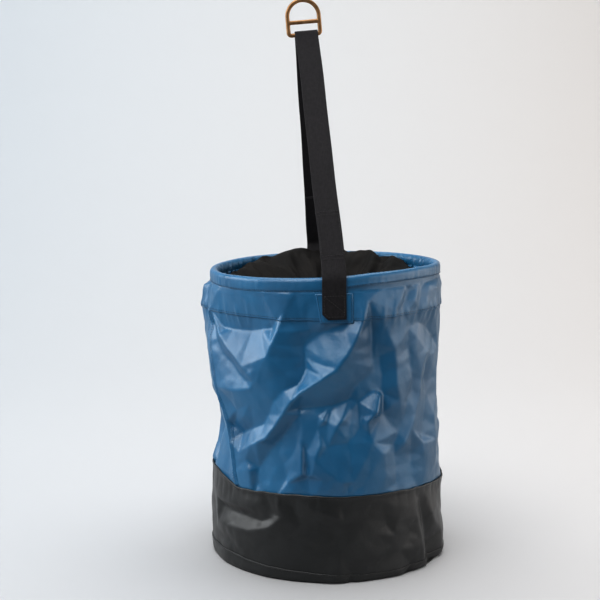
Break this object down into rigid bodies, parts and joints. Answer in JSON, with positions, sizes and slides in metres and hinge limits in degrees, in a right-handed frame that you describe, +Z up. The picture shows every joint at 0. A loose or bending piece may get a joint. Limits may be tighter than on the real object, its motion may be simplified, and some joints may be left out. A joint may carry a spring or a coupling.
{
  "type": "fruit picking bag",
  "caption": "Round hoop-rimmed fabric picking bag with a flat black base, closure sleeve in the mouth and a webbing strap through a metal D-ring.",
  "frame": {"origin": "middle of the underside of the round base, on the floor", "axes": "+Z up through the bag; -Y is the front, where the near strap leg is sewn on; the strap lies in the YZ plane and its ring in the XZ plane"},
  "size_m": [0.3146, 0.3142, 0.7355],
  "materials": {
    "blue_coated_fabric": "satin coated fabric",
    "black_coated_fabric": "satin coated fabric",
    "black_nylon": "matt woven nylon",
    "black_webbing": "matt woven webbing",
    "bronze_metal": "dull bronze plating",
    "spring_steel": "plain wire",
    "stiff_board": "matt"
  },
  "bodies": {
    "base": {"base_panel": "black_coated_fabric", "base_board": "stiff_board", "base_wall": "black_coated_fabric", "base_binding": "black_coated_fabric", "body_panel": "blue_coated_fabric", "side_seam_tape": "blue_coated_fabric"},
    "rim": {"rim_hoop": "spring_steel", "hoop_ferrule": "spring_steel", "rim_casing": "blue_coated_fabric", "hem_band": "blue_coated_fabric", "hem_facing": "blue_coated_fabric", "front_patch": "blue_coated_fabric", "rear_patch": "blue_coated_fabric", "front_outer_tab": "black_webbing", "front_inner_tab": "black_webbing", "rear_outer_tab": "black_webbing", "rear_inner_tab": "black_webbing", "closure_sleeve": "black_nylon"},
    "strap": {"strap_webbing": "black_webbing", "front_doubler": "black_webbing", "rear_doubler": "black_webbing"},
    "ring": {"d_ring": "bronze_metal"}
  },
  "joints": [
    {"name": "rim_collapse", "type": "slide", "parent": "base", "child": "rim", "axis": [0, 0, 1], "range_m": [-0.14, 0], "deforming": ["body_panel", "side_seam_tape"]},
    {"name": "strap_swing", "type": "hinge", "parent": "rim", "child": "strap", "pos_m": [-0.004, 0, 0.405], "axis": [0, 1, 0], "range_deg": [-75, 85]},
    {"name": "ring_turn", "type": "hinge", "parent": "strap", "child": "ring", "pos_m": [-0.0312, 0, 0.6887], "axis": [0.9962, 0, 0.0872], "range_deg": [-118, 118]}
  ]
}
